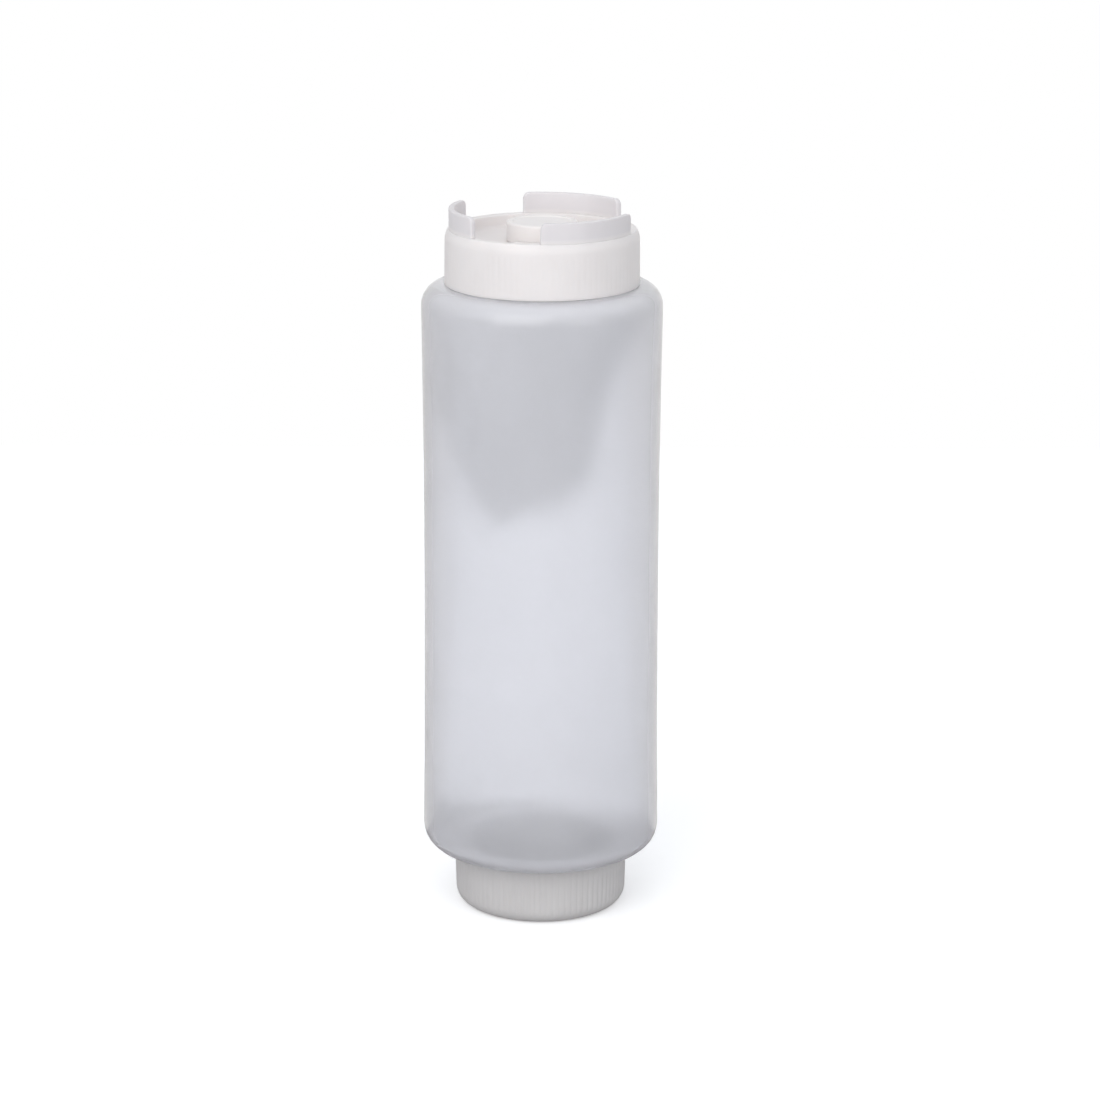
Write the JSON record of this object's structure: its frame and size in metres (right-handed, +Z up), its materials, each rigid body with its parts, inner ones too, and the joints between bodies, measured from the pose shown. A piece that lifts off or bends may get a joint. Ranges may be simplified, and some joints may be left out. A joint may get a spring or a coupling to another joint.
{
  "type": "squeeze bottle",
  "caption": "Two-ended squeeze bottle that stands on a ribbed refill cap, with a wider dispensing cap whose flip lid closes a slit valve between upright standing walls.",
  "frame": {"origin": "middle of the flat base of the refill cap, on the surface that the bottle stands on", "axes": "+Z up along the bottle towards the dispensing cap, -Y to the side seen first, +X to its right"},
  "size_m": [0.076, 0.076, 0.2282],
  "materials": {
    "body_plastic": "soft satin, translucent natural low-density polyethylene",
    "cap_plastic": "satin milky-white polypropylene",
    "lid_plastic": "satin milky-white polypropylene",
    "refill_cap_plastic": "satin milky-white polypropylene, finely ribbed",
    "seal_silicone": "smooth milky silicone",
    "valve_silicone": "smooth translucent silicone"
  },
  "bodies": {
    "refill_cap": {"refill_cap": "refill_cap_plastic"},
    "refill_seal": {"refill_seal": "seal_silicone"},
    "bottle": {"bottle_body": "body_plastic"},
    "dispensing_seal": {"dispensing_seal": "seal_silicone"},
    "dispensing_cap": {"dispensing_cap": "cap_plastic", "valve_retainer": "cap_plastic", "outlet_valve": "valve_silicone"},
    "flip_lid": {"flip_lid": "lid_plastic"}
  },
  "joints": [
    {"name": "refill_turn", "type": "hinge", "parent": "refill_cap", "child": "refill_seal", "pos_m": [0, 0, 0.003], "axis": [0, 0, 1], "range_deg": [0, 720]},
    {"name": "refill_lift", "type": "slide", "parent": "refill_seal", "child": "bottle", "axis": [0, 0, 1], "range_m": [0, 0.016]},
    {"name": "dispensing_lift", "type": "slide", "parent": "bottle", "child": "dispensing_seal", "axis": [0, 0, 1], "range_m": [0, 0.01]},
    {"name": "dispensing_turn", "type": "hinge", "parent": "dispensing_seal", "child": "dispensing_cap", "pos_m": [0, 0, 0.21], "axis": [0, 0, 1], "range_deg": [0, 450]},
    {"name": "lid_flip", "type": "hinge", "parent": "dispensing_cap", "child": "flip_lid", "pos_m": [0.00529, 0.01188, 0.22], "axis": [-0.9135, 0.4067, 0], "range_deg": [0, 120]}
  ],
  "couplings": [
    {"joint": "refill_lift", "follows": "refill_turn", "m_per_rad": 0.0012732},
    {"joint": "dispensing_lift", "follows": "dispensing_turn", "m_per_rad": 0.0012732}
  ]
}
